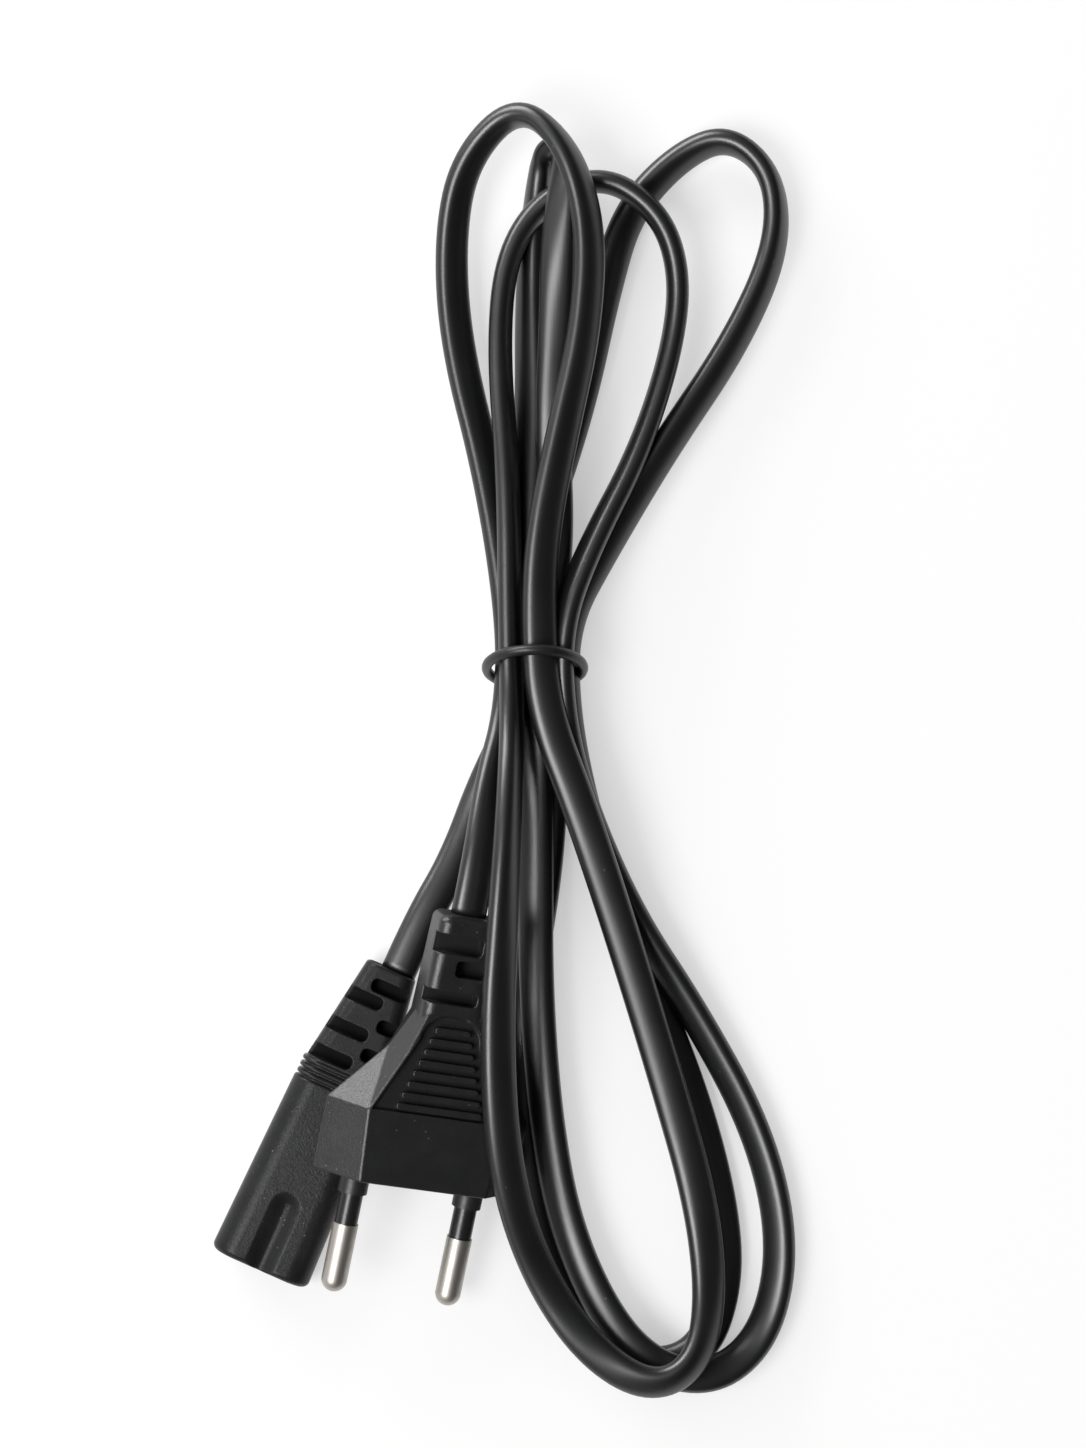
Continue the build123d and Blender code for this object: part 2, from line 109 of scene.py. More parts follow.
# Sections of the plug behind its front: y, half width at the ridge, half width of the broad side, half height
PLUG_NECK = ((21.0, 8.2, 6.5, 4.96), (27.0, 5.2, 4.4, 4.3))
RIDGE_ANGLE = math.radians(8)
RIDGE_ROUNDING = 0.28

# Grip panel: depth, cutter above it, half width and start of its foot,
# half width, height and start of its arch
PANEL_DEPTH = 0.95
PANEL_ABOVE = 3.0
PANEL_FOOT = (10.7, 0.2)
PANEL_ARCH = (5.0, 4.3, 11.6)
PANEL_STEPS = 14

# Ribs: first along the panel, step, half length of the first and its loss per millimetre, half thickness,
# root below the panel's floor, height over the broad side, roundings
RIB_FIRST = 1.1
RIB_STEP = 1.75
RIB_HALF = 6.9
RIB_LOSS = 0.33
RIB_THICK = 0.5
RIB_ROOT = 0.3
RIB_ABOVE = 0.1
RIB_ROUNDING = (0.48, 0.42)

# Blocks along a piece: from, to, section at the start, section at the end, rounding along it and its steps
PLUG_RELIEF = (17.0, PLUG_TAIL, (10.8, 8.7), (10.0, 7.4), 1.9, 5)
PLUG_POCKET = (-1.0, 8.0, (24.6, 7.0), (24.6, 7.0), 3.45, 8)
CONNECTOR_RELIEF = (33.4, CONNECTOR_LENGTH, (13.6, 7.8), (8.2, 6.4), 2.4, 6)
CONNECTOR_POCKET = (-1.0, 17.0, (13.4, 5.6), (13.4, 5.6), 2.75, 8)
PLUG_TAIL_ROUNDING = 1.3
CONNECTOR_RELIEF_ROUNDING = 0.4

# Slots of the plug's strain relief: across from, across to, from tail, to tail
PLUG_SLOTS = ((-7.0, 2.3, 5.3, 8.3), (-1.4, 3.7, 9.1, 11.7), (-7.0, 3.0, 14.0, 16.1))
PLUG_SLOT_FLOOR = 1.4
PLUG_SLOT_ROUNDING = 0.7
SLOT_TOP = 7.0

# Slots of the connector's strain relief: across from, across to, from tail
CONNECTOR_SLOTS = (
    (-9.0, 1.0, 5.6), (-9.0, 0.9, 11.0), (-9.0, 0.4, 15.9),
    (-1.9, 4.1, 3.0), (1.5, 4.9, 8.6), (1.0, 5.6, 13.6),
)
CONNECTOR_SLOT_HALF = 1.1
CONNECTOR_SLOT_FLOOR = 1.3
CONNECTOR_SLOT_ROUNDING = 0.85

# Nose of the connector: section at its back, roundings along it, at its front and at its back
NOSE_BACK = (14.6, 8.2)
NOSE_ROUNDING = 3.85
NOSE_FRONT_ROUNDING = 1.1
NOSE_BACK_ROUNDING = 0.35

# Neck behind the nose: start inside the nose, then a block without its start
NECK_INSIDE = 2
CONNECTOR_NECK = (35.0, (13.2, 7.2), (13.2, 7.2), 2.9, 6)

# Rings round the neck: section, first after the nose, step, length, roundings along and across
RING_SECTION = (14.4, 8.2)
RING_FIRST = 0.35
RING_STEP = 1.1
RING_LENGTH = 0.7
RING_ROUNDING = 3.3
RING_EDGE_ROUNDING = 0.3

# Groove of the nose: where its round end lies, reach forward, steps of the round end,
# then half width and height over the broad side
GROOVE_END = 10.7
GROOVE_REACH = 14.0
GROOVE_STEPS = 12
GROOVE = (
    (0.35, -1.3), (0.75, -1.12), (1.15, -0.84), (1.55, -0.54),
    (1.95, -0.27), (2.4, -0.07), (2.9, 0.05), (4.0, 0.6),
)

# What the flex carries inside the connector's shell
CONNECTOR_NODES = (
    "connector_core", "contact_left", "contact_right", "connector_wire_brown", "connector_wire_blue",
)

# Stage in metres: camera over the floor, place and size of each lamp, half size and level of the floor,
# reach of the painted shade where the lead touches it
VIEW_OVER = (0.0060, 0.0039)
KEY_LAMP = ((-0.56, -0.23, 1.03), (0.62, 0.5))
BACK_LAMP = ((-0.57, 0.79, 0.38), (0.75, 0.36))
FLOOR_HALF = 3.0
FLOOR_LEVEL = -0.0002
NEAR_SHADE = 0.012

# Route of the flex, strand by strand: x, y, z and roll of the flat section (0 lies flat, 90 stands on edge)
FIRST_TOP_LOOP = (
    (-1.9, -4.4, 12.6, 40), (0.6, 5.8, 7.7, 54), (1, 19.5, 7.5, 54), (-2.2, 41.9, 6, 42),
    (-7.6, 63.1, 5, 36), (-8.6, 79.5, 5.6, 40), (-6.2, 91.8, 7.6, 52), (2, 99.9, 11.4, 74),
    (9.6, 93.4, 15, 116), (13.5, 80.7, 15.2, 134), (12.6, 64.7, 14.8, 138), (9.1, 49.3, 14.4, 144),
    (5.8, 33, 14.2, 150), (5.3, 19.3, 14, 160),
)
FIRST_BOTTOM_LOOP = (
    (6.2, 5.7, 13.9, 170), (12, -9.7, 13, 178), (18.8, -30.4, 10.4, 184), (25.5, -52.3, 7.9, 182),
    (30.8, -71.1, 6.8, 168), (32.2, -85.8, 7.6, 144), (29.9, -95.6, 10.4, 130), (22.6, -99.2, 10.8, 145),
    (13, -93.1, 10.6, 182), (4.8, -80.6, 11, 203), (0.1, -64.8, 16.3, 200), (-1.2, -44.5, 19.4, 205),
    (0.2, -21.5, 20.6, 232), (0.9, -7, 18.4, 250),
)
SECOND_TOP_LOOP = (
    (1.3, 5.8, 12.2, 254), (0.9, 19.4, 11.7, 254), (0.7, 41.7, 10.8, 254), (-1, 62.2, 6.8, 256),
    (0.2, 77.1, 6, 260), (6.3, 86.2, 6, 264), (15.7, 89.4, 7.8, 268), (24.2, 83.4, 8.4, 268),
    (27.4, 74.1, 7.4, 266), (26.2, 62.3, 6.8, 264), (21.1, 46.5, 8, 258), (13.3, 31.6, 10.8, 250),
    (8.6, 19.4, 11.6, 244),
)
SECOND_BOTTOM_LOOP = (
    (8.7, 5.8, 11.3, 240), (11.9, -7.9, 8.8, 236), (19.6, -25.9, 6.2, 230), (29.5, -40.9, 3.5, 226),
    (39.8, -59.8, 2.65, 222), (43.8, -77.1, 2.65, 222), (41.3, -91.2, 2.7, 214), (33.7, -98.3, 5, 200),
    (24.2, -97.1, 6.7, 182), (16.4, -89.8, 6.4, 168), (9.6, -75.1, 5.5, 160), (6.4, -57.9, 6.2, 158),
    (4.9, -37.6, 6.4, 158), (4.9, -18.9, 6.8, 158), (4.8, -6.4, 7.8, 158),
)
THIRD_TOP_LOOP = (
    (4.6, 5.8, 8.6, 158), (4.4, 19.4, 8.6, 155), (3.2, 35.7, 7.6, 150), (4.1, 51.4, 4.8, 140),
    (3.8, 68.9, 3, 125), (4.2, 79.7, 3, 110), (5, 87.9, 3.1, 98), (6.1, 93.2, 5, 86),
    (9.3, 93.2, 9.4, 66), (9.4, 87.6, 11.2, 44), (8.3, 78.6, 11, 22), (8.2, 67, 9.6, 0),
    (7.4, 49.6, 8.6, -4), (8.2, 33.4, 6.2, 10), (6.7, 19.5, 4.45, 22),
)
THIRD_BOTTOM_LOOP = (
    (6.9, 5.8, 4.4, 25), (7.2, -8, 2.6, 20), (6.2, -20.5, 2.1, 15), (3.6, -36, 2, 10),
    (2.2, -53.6, 2, 8), (3.1, -69.3, 2, 5), (7.1, -82.6, 2, 0), (13.4, -92, 2, -2),
    (22.8, -97.5, 2, -4), (31.1, -94.7, 2, -4), (34.7, -84.2, 2, -2), (34.1, -72.4, 2, 0),
    (30.2, -56.7, 2, 5), (23.6, -39.4, 2.1, 10), (16, -22.2, 2.2, 16), (11.8, -8, 3.9, 21),
)
FOURTH_TOP_LOOP = (
    (9.2, 5.8, 7.4, 30), (9.1, 19.5, 7.5, 36), (15.4, 31, 7, 41), (25.1, 47.3, 5.6, 42),
    (36.1, 63.4, 4.6, 46), (42.7, 78.3, 4.9, 58), (42.1, 89.8, 5.6, 78), (35, 96, 4.8, 106),
    (27.2, 92.8, 3.2, 126), (19.3, 84.3, 2.6, 140), (15.7, 72, 2.5, 146), (12.1, 55.6, 2.4, 152),
    (7.4, 40.6, 2.3, 158), (3.2, 29.6, 3, 164), (2.7, 19.5, 4.6, 168),
)
CONNECTOR_END = ((2.6, 5.8, 4.5, 172), (-2.9, -4.9, 2.6, 176), (-7.5, -17.4, 3.2, 178))
LOOPS = (
    FIRST_TOP_LOOP, FIRST_BOTTOM_LOOP, SECOND_TOP_LOOP, SECOND_BOTTOM_LOOP,
    THIRD_TOP_LOOP, THIRD_BOTTOM_LOOP, FOURTH_TOP_LOOP, CONNECTOR_END,
)


class Value:
    """One socket of a node tree. Arithmetic on it adds Math nodes."""

    def __init__(self, graph, socket):
        self.graph = graph
        self.socket = socket

    def math(self, operation, first, second):
        return self.graph.node("ShaderNodeMath", {"operation": operation}, {0: first, 1: second})

    def __add__(self, other):
        return self.math("ADD", self, other)

    def __radd__(self, other):
        return self.math("ADD", other, self)

    def __sub__(self, other):
        return self.math("SUBTRACT", self, other)

    def __rsub__(self, other):
        return self.math("SUBTRACT", other, self)

    def __mul__(self, other):
        return self.math("MULTIPLY", self, other)

    def __rmul__(self, other):
        return self.math("MULTIPLY", other, self)

    def __or__(self, other):
        return self.math("MAXIMUM", self, other)

    def __abs__(self):
        return self.math("ABSOLUTE", self, 0.0)


class Graph:
    """A node tree, and the one method that adds its nodes."""

    def __init__(self, tree):
        self.tree = tree

    def feed(self, socket, value):
        if isinstance(value, Value):
            self.tree.links.new(value.socket, socket)
        else:
            socket.default_value = value

    def node(self, kind, settings=None, values=None, out=0):
        made = self.tree.nodes.new(kind)
        for name, setting in (settings or {}).items():
            setattr(made, name, setting)
        for socket, value in (values or {}).items():
            self.feed(made.inputs[socket], value)
        return Value(self, made.outputs[out])

    def axis(self, vector, name):
        return self.node("ShaderNodeSeparateXYZ", None, {"Vector": vector}, out=name)


class Finish(Graph):
    """A material and the patterns that its shader takes."""

    def __init__(self, name, colour, roughness, **sockets):
        self.material = bpy.data.materials.new(name)
        self.material.use_nodes = True
        super().__init__(self.material.node_tree)
        self.shader = self.tree.nodes["Principled BSDF"]
        self.material.diffuse_color = (*colour, 1.0)
        self.set(Base_Color=(*colour, 1.0), Roughness=roughness, **sockets)

    def set(self, **sockets):
        for name, value in sockets.items():
            self.feed(self.shader.inputs[name.replace("_", " ")], value)

    def spot(self, place=None):
        """Object coordinates in millimetres, in the piece's own frame where a place is given."""
        place = place or Matrix.Scale(MM, 4)
        at, turn, scale = place.decompose()
        settings = {"vector_type": "TEXTURE"}
        values = {
            "Vector": self.node("ShaderNodeTexCoord", out="Object"),
            "Location": at,
            "Rotation": turn.to_euler("XYZ"),
            "Scale": scale,
        }
        return self.node("ShaderNodeMapping", settings, values)

    def noise(self, vector, scale, detail=2.0, roughness=0.5):
        values = {"Vector": vector, "Scale": scale, "Detail": detail, "Roughness": roughness}
        return self.node("ShaderNodeTexNoise", None, values)

    def step(self, value, low, high):
        """0 below low, 1 above high, smooth between."""
        values = {"Value": value, "From Min": low, "From Max": high}
        return self.node("ShaderNodeMapRange", {"interpolation_type": "SMOOTHSTEP"}, values)

    def mix(self, share, first, second):
        return self.node("ShaderNodeMix", {"data_type": "RGBA"}, {0: share, 6: first, 7: second}, out=2)

    def bump(self, height, strength, distance, soft=0.0):
        """A bumpy surface, its edges softened by a radius where one is given."""
        values = {"Height": height, "Strength": strength, "Distance": distance * MM}
        if soft:
            values["Normal"] = self.node("ShaderNodeBevel", {"samples": 8}, {"Radius": soft * MM})
        return self.node("ShaderNodeBump", None, values)


def shaded(colour, share):
    """A colour made lighter or darker, as a socket takes it."""
    return (*[part * share for part in colour], 1.0)


def finished(name, mesh, finish, slot, *replaced):
    """A new piece on the lead, with its finish and the CAD nodes it stands for."""
    made = bpy.data.objects.new(name, mesh)
    bpy.context.scene.collection.objects.link(made)
    mesh.materials.clear()
    mesh.materials.append(finish.material)
    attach(made, BODY)
    if replaced:
        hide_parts(*replaced)
    return made


def repaint(finish, *nodes):
    """Give CAD nodes a finish."""
    for name in nodes:
        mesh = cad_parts[name].data
        mesh.materials.clear()
        mesh.materials.append(finish.material)


def box(builder, low, high):
    """The vertices of a box between two corners."""
    size = [upper - lower for lower, upper in zip(low, high)]
    middle = [(upper + lower) / 2 for lower, upper in zip(low, high)]
    place = Matrix.Translation(middle) @ Matrix.Diagonal((*size, 1))
    return bmesh.ops.create_cube(builder, size=1.0, matrix=place)["verts"]


def edges_of(verts, along=None):
    """The edges that join some vertices, or only those along one axis."""
    inside = set(verts)
    edges = dict.fromkeys(
        edge for vert in verts for edge in vert.link_edges if inside.issuperset(edge.verts)
    )
    if along is None:
        return list(edges)
    return [edge for edge in edges if abs(run_of(edge)["xyz".index(along)]) > 0.9]


def run_of(edge):
    """The direction of an edge."""
    return (edge.verts[1].co - edge.verts[0].co).normalized()


def rim_of(builder, inside):
    """The edges whose two ends pass a test on y."""
    return [edge for edge in builder.edges if all(inside(vert.co.y) for vert in edge.verts)]


def cross_edges(builder):
    """The edges that run across a block, not along it."""
    return [edge for edge in builder.edges if abs(run_of(edge).y) < 0.1]


def rounded(builder, edges, offset, segments):
    """Round edges off."""
    builder.normal_update()
    bmesh.ops.bevel(
        builder, geom=edges, offset=offset, offset_type="OFFSET", segments=segments, profile=0.5,
        affect="EDGES", clamp_overlap=True, material=-1,
    )


def tapered_box(builder, near, far, near_size, far_size, round_off, segments):
    """A box along y whose section goes from one width and height to another, with its long edges rounded."""
    low = (-near_size[0] / 2, near, -near_size[1] / 2)
    high = (near_size[0] / 2, far, near_size[1] / 2)
    verts = box(builder, low, high)
    end = [vert for vert in verts if vert.co.y > (near + far) / 2]
    shrink = (far_size[0] / near_size[0], 1, far_size[1] / near_size[1])
    bmesh.ops.scale(builder, vec=shrink, verts=end)
    rounded(builder, edges_of(verts, "y"), round_off, segments)


def rounded_box(builder, low, high, upright, other=0.0, segments=3):
    """A box with its upright edges rounded, and its level ones too where a second radius is given."""
    verts = box(builder, low, high)
    rounded(builder, edges_of(verts, "z"), upright, segments)
    if other:
        slack = 1e-4
        near = [
            vert for vert in builder.verts
            if all(a - slack <= c <= b + slack for a, c, b in zip(low, vert.co, high))
        ]
        level = [
            edge for edge in edges_of(near) if abs(run_of(edge).z) < 0.1 and edge.calc_face_angle(0) > 1
        ]
        rounded(builder, level, other, 2)


def arched(builder, foot, arch, steps):
    """A flat face with two square corners at its foot and a half-round end, made with a spin."""
    half, tall, start = arch
    first = builder.verts.new((half, start, 0))
    bmesh.ops.spin(
        builder, geom=[first], cent=(0, start, 0), axis=(0, 0, 1), angle=math.pi, steps=steps,
        use_duplicate=False,
    )
    end = builder.verts[:]
    from_start = Matrix.Translation((0, -start, 0))
    bmesh.ops.scale(builder, vec=(1, tall / half, 1), space=from_start, verts=end)
    corners = [builder.verts.new((side * foot[0], foot[1], 0)) for side in (-1, 1)]
    return builder.faces.new(corners + end)


def grown(builder, face, first):
    """Extrude a face, drop the one left inside unless it is the first, and give back the new end."""
    made = bmesh.ops.extrude_face_region(builder, geom=[face])["geom"]
    if face is not first:
        bmesh.ops.delete(builder, geom=[face], context="FACES_ONLY")
    return next(part for part in made if isinstance(part, bmesh.types.BMFace))


def solid(builder):
    """A scratch object with a builder's mesh, its faces outwards."""
    builder.normal_update()
    bmesh.ops.recalc_face_normals(builder, faces=builder.faces)
    mesh = bpy.data.meshes.new("scratch")
    builder.to_mesh(mesh)
    builder.free()
    made = bpy.data.objects.new("scratch", mesh)
    bpy.context.scene.collection.objects.link(made)
    return made


def block(*table):
    """A scratch object of one tapered box."""
    builder = bmesh.new()
    tapered_box(builder, *table)
    return solid(builder)


def combined(body, tool, operation):
    """Unite a body with a tool's shape, or cut it out, and drop the tool."""
    change = body.modifiers.new("change", "BOOLEAN")
    change.object = tool
    change.operation = operation
    change.solver = "EXACT"
    bpy.context.view_layer.update()
    mesh = bpy.data.meshes.new_from_object(body.evaluated_get(bpy.context.evaluated_depsgraph_get()))
    body.modifiers.clear()
    body.data = mesh
    bpy.data.objects.remove(tool)


def moulded(name, body, place, finish, slot, *replaced, weld=0.0):
    """Soften the last sharp edges of a shaped body and set it in its place."""
    builder = bmesh.new()
    builder.from_mesh(body.data)
    bpy.data.objects.remove(body)
    bmesh.ops.remove_doubles(builder, verts=builder.verts, dist=NEAR_POINTS)
    bmesh.ops.dissolve_limit(builder, angle_limit=FLAT_ANGLE, verts=builder.verts, edges=builder.edges)
    sharp = [edge for edge in builder.edges if edge.calc_face_angle(0) > SHARP_ANGLE]
    rounded(builder, sharp, LAST_ROUNDING, 2)
    if weld:
        bmesh.ops.remove_doubles(builder, verts=builder.verts, dist=weld)
    bmesh.ops.transform(builder, matrix=place, verts=builder.verts)
    mesh = bpy.data.meshes.new(name)
    builder.to_mesh(mesh)
    builder.free()
    mesh.shade_smooth()
    mesh.set_sharp_from_angle(angle=SHADING_ANGLE)
    made = finished(name, mesh, finish, slot, *replaced)
    even = made.modifiers.new("even_shading", "WEIGHTED_NORMAL")
    even.keep_sharp = True


class FlexSettings(bpy.types.PropertyGroup):
    """Sizes of the flat flex, in metres, and its colour."""

    width: FloatProperty(name="Width", description="Broad side of the flex", default=5.6 * MM, unit="LENGTH")
    thickness: FloatProperty(name="Thickness", description="Narrow side", default=3.5 * MM, unit="LENGTH")
    length: FloatProperty(name="Length", description="Plug to connector", default=1.5, unit="LENGTH")
    colour: FloatVectorProperty(
        name="Colour", description="Soft PVC of the flex", subtype="COLOR", default=(0.0035, 0.0037, 0.0039)
    )


class RingSettings(bpy.types.PropertyGroup):
    """Sizes of the tie ring, in millimetres, and its colour."""

    half_width: FloatProperty(name="Half Width", description="Across the hank", default=7.5)
    half_tall: FloatProperty(name="Half Height", description="Up and down", default=8.75)
    thick: FloatProperty(name="Thickness", description="Section of the ring", default=1.7)
    colour: FloatVectorProperty(
        name="Colour", description="Rubber of the ring", subtype="COLOR", default=(0.009, 0.009, 0.009)
    )


class PlugSettings(bpy.types.PropertyGroup):
    """Sizes and colours of the plug, in millimetres."""

    half_width: FloatProperty(name="Half Width", description="Middle to the side ridge", default=16.4)
    half_top: FloatProperty(
        name="Half Top", description="Half width of the broad side at the pins", default=10.2
    )
    half_back: FloatProperty(
        name="Half Back", description="Half width of the broad side at the neck", default=11.1
    )
    half_height: FloatProperty(name="Half Height", description="Half thickness", default=6.0)
    front: FloatProperty(name="Front", description="Length of the six-sided front", default=11.5)
    ribs: IntProperty(name="Ribs", description="Ribs on each grip panel", default=8)
    colour: FloatVectorProperty(
        name="Colour", description="Soft PVC of the mouldings", subtype="COLOR",
        default=(0.012, 0.0123, 0.0125),
    )
    metal: FloatVectorProperty(
        name="Metal", description="Nickel of the pins", subtype="COLOR", default=(0.56, 0.53, 0.485)
    )


class ConnectorSettings(bpy.types.PropertyGroup):
    """Sizes of the connector, in millimetres, and the colour of its contacts."""

    nose: FloatProperty(name="Nose", description="Length of the waisted nose", default=30.3)
    width: FloatProperty(name="Width", description="Across the front of the nose", default=16.3)
    height: FloatProperty(name="Height", description="Thickness of the nose", default=8.4)
    rings: IntProperty(name="Rings", description="Rings behind the nose", default=3)
    brass: FloatVectorProperty(
        name="Brass", description="Spring brass of the contacts", subtype="COLOR", default=(0.72, 0.52, 0.24)
    )


class StageSettings(bpy.types.PropertyGroup):
    """Camera, floor and lamps."""

    height: FloatProperty(name="Camera Height", description="Above the floor", default=0.65, unit="LENGTH")
    lens: FloatProperty(name="Lens", description="Focal length of the camera", default=102.6)
    floor: FloatVectorProperty(
        name="Floor", description="Colour of the floor", subtype="COLOR", default=(0.84, 0.84, 0.84)
    )
    key_power: FloatProperty(name="Key Power", description="Soft lamp on the left", default=12.5)
    back_power: FloatProperty(name="Back Power", description="Low soft lamp at the upper left", default=10.5)
    sky: FloatProperty(name="Sky", description="Strength of the even light from the left", default=0.38)
    shade: FloatProperty(name="Shade", description="Strength of the even light from the right", default=0.06)


def flex_finish(settings):
    """Extruded PVC: satin, with faint draw lines along it, cloudy patches and a few specks of dust."""
    finish = Finish("flex_pvc", settings.colour, 0.3, Specular_IOR_Level=0.8)
    around = finish.node("ShaderNodeAttribute", {"attribute_name": "draw"}, out="Vector")
    lines = finish.noise(around, 1.0, 3.0)
    spot = finish.spot()
    cloud = finish.noise(spot, 0.11, 3.0)
    specks = finish.node("ShaderNodeTexVoronoi", None, {"Vector": spot, "Scale": 0.21}, out="Distance")
    dust = (1 - finish.step(specks, 0.025, 0.045)) * finish.step(cloud, 0.45, 0.6)
    pale = finish.mix(cloud, shaded(settings.colour, 1.0), shaded(settings.colour, 1.9))
    finish.set(
        Base_Color=finish.mix(dust * 0.35, pale, (0.2, 0.2, 0.19, 1)),
        Roughness=0.27 + 0.08 * lines + 0.1 * cloud,
        Normal=finish.bump(lines, 0.12, 0.05),
    )
    return finish


class LEAD_OT_flex(bpy.types.Operator):
    """Lay the flat flex along its route, from the plug through the tie ring to the connector"""

    bl_idname = "lead.flex"
    bl_label = "Flex"

    def execute(self, context):
        settings = context.scene.lead_flex
        line = self.spline(self.route())
        path = bpy.data.meshes.new_from_object(line)
        points = [vertex.co.copy() for vertex in path.vertices]
        profile = self.section(settings)
        line.data.bevel_mode = "OBJECT"
        line.data.bevel_object = profile
        line.data.use_fill_caps = True
        context.view_layer.update()
        mesh = bpy.data.meshes.new_from_object(line.evaluated_get(context.evaluated_depsgraph_get()))
        self.mark(mesh, points, len(profile.data.splines[0].points))
        for used in (line, profile):
            bpy.data.objects.remove(used)
        flex = finished("flex", mesh, flex_finish(settings), "flex", "flex_cord")
        mesh.shade_smooth()
        ends = [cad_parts[name] for name in CONNECTOR_NODES]
        ends.append(context.scene.objects["connector_shell"])
        return {"FINISHED"}

    def route(self):
        """The route's points in metres with their rolls, straight out of the plug and into the connector."""
        start = [
            (PLUG_PLACE @ Vector((0, PLUG_TAIL + out, 0)), roll)
            for out, roll in zip((INSIDE_TAIL, STRAIGHT_END), PLUG_ROLLS)
        ]
        middle = [(Vector(row[:3]) * MM, row[3]) for loop in LOOPS for row in loop]
        end = [
            (CONNECTOR_PLACE @ Vector((CONNECTOR_SHIFT, CONNECTOR_LENGTH + out, 0)), CONNECTOR_ROLL)
            for out in (STRAIGHT_END, INSIDE_TAIL)
        ]
        return start + middle + end

    def spline(self, points):
        data = bpy.data.curves.new("flex_route", "CURVE")
        data.dimensions = "3D"
        data.twist_mode = "Z_UP"
        data.resolution_u = PATH_STEPS
        spline = data.splines.new("NURBS")
        spline.points.add(len(points) - 1)
        for point, (at, roll) in zip(spline.points, points):
            point.co = (*at, 1.0)
            point.tilt = math.radians(roll)
        spline.order_u = 3
        spline.use_endpoint_u = True
        line = bpy.data.objects.new("flex_route", data)
        bpy.context.scene.collection.objects.link(line)
        return line

    def section(self, settings):
        """The flat section: round edges and broad sides a little crowned."""
        data = bpy.data.curves.new("flex_section", "CURVE")
        data.dimensions = "2D"
        spline = data.splines.new("POLY")
        spline.points.add(SECTION_STEPS - 1)
        half = settings.thickness / 2
        flat = settings.width / 2 - half
        for step, point in enumerate(spline.points):
            turn = 2 * math.pi * step / SECTION_STEPS
            across = half * math.cos(turn) + flat * math.sin(math.pi / 2 * math.cos(turn))
            point.co = (across, half * math.sin(turn), 0, 1)
        spline.use_cyclic_u = True
        section = bpy.data.objects.new("flex_section", data)
        bpy.context.scene.collection.objects.link(section)
        return section

    def mark(self, mesh, points, around):
        """Write how far along and around the flex each vertex is, caps first, then join the caps to it."""
        draw = mesh.attributes.new("draw", "FLOAT_VECTOR", "POINT")
        runs = [0.0]
        for before, after in zip(points, points[1:]):
            runs.append(runs[-1] + (after - before).length)
        rings = [runs[0], runs[-1], *runs]
        for index, vertex in enumerate(mesh.vertices):
            turn = 2 * math.pi * (index % around) / around
            run = rings[min(index // around, len(rings) - 1)]
            around_it = (DRAW_AROUND * math.cos(turn), DRAW_AROUND * math.sin(turn))
            draw.data[index].vector = (*around_it, DRAW_ALONG * run)
        builder = bmesh.new()
        builder.from_mesh(mesh)
        bmesh.ops.remove_doubles(builder, verts=builder.verts, dist=SAME_RIM)
        bmesh.ops.recalc_face_normals(builder, faces=builder.faces)
        builder.to_mesh(mesh)
        builder.free()


def rubber_finish(colour):
    """Rubber of the tie ring: satin, slightly uneven."""
    finish = Finish("tie_rubber", colour, 0.4)
    spot = finish.spot()
    skin = finish.noise(spot, 1.4, 3.0)
    finish.set(Roughness=0.3 + 0.2 * skin, Normal=finish.bump(skin, 0.25, 0.05))
    return finish


def moulding_finish(name, colour, place, shade_mask, sheen, grain=None):
    """Moulded PVC: eroded skin, cloudy wear, pale dust, painted shade darkening the floors of the slots and
    the grooves between the ribs, leather grain where wanted.
    """
    finish = Finish(name, colour, 0.5, Specular_IOR_Level=sheen)
    spot = finish.spot(place)
    skin = finish.noise(spot, 2.4, 4.0, 0.7)
    cloud = finish.noise(spot, 0.22, 4.0, 0.6)
    cells = finish.node("ShaderNodeTexVoronoi", None, {"Vector": spot, "Scale": 0.75}, out="Distance")
    dusty = finish.step(finish.noise(spot, 0.16, 2.0), 0.45, 0.7)
    dust = (1 - finish.step(cells, 0.05, 0.12)) * dusty
    pale = finish.mix(cloud, shaded(colour, 0.75), shaded(colour, 1.5))
    pits = finish.noise(spot, 5.5, 3.0, 0.7)
    height = 0.35 * skin + 0.2 * cloud + 0.16 * pits
    # Mask of painted shade in the slots and between the ribs
    painted_shade = shade_mask(finish, spot)
    if grain:
        wave = finish.node(
            "ShaderNodeTexNoise", None,
            {"Vector": spot, "Scale": 1.1, "Detail": 5.0, "Roughness": 0.62, "Distortion": 1.4},
        )
        height = height + wave * (0.1 + grain(finish, spot) * 0.7)
    dusted = finish.mix(dust * 0.6, pale, (0.24, 0.24, 0.23, 1))
    # Painted shade: the masked slot floors and rib grooves turn near black and rougher
    finish.set(
        Base_Color=finish.mix(painted_shade, dusted, (0.002, 0.002, 0.002, 1)),
        Roughness=0.2 + 0.16 * skin + 0.1 * cloud + 0.5 * painted_shade,
        Normal=finish.bump(height, 0.6, 0.2, SOFT_EDGES),
    )
    return finish


def plug_painted_shade(finish, spot):
    """Mask of painted shade: the floors of the slots in the plug's strain relief and between the ribs of its
    grip panels.
    """
    across, along, up = (finish.axis(spot, name) for name in "XYZ")
    inside = 1 - finish.step(abs(across), 4.3, 4.7)
    slots = inside * finish.step(along, 25.5, 26.0) * (1 - finish.step(abs(up), 1.7, 3.0))
    below = 7.26 - 0.11 * along - abs(up)
    between = finish.step(below, 0.3, 0.7) * (1 - finish.step(below, 1.1, 1.3))
    panel = finish.step(along, 11.9, 12.3) * (1 - finish.step(abs(across) + 0.42 * along, 14.2, 14.8))
    return slots | (panel * between * (1 - finish.step(along, 26.2, 26.8)))


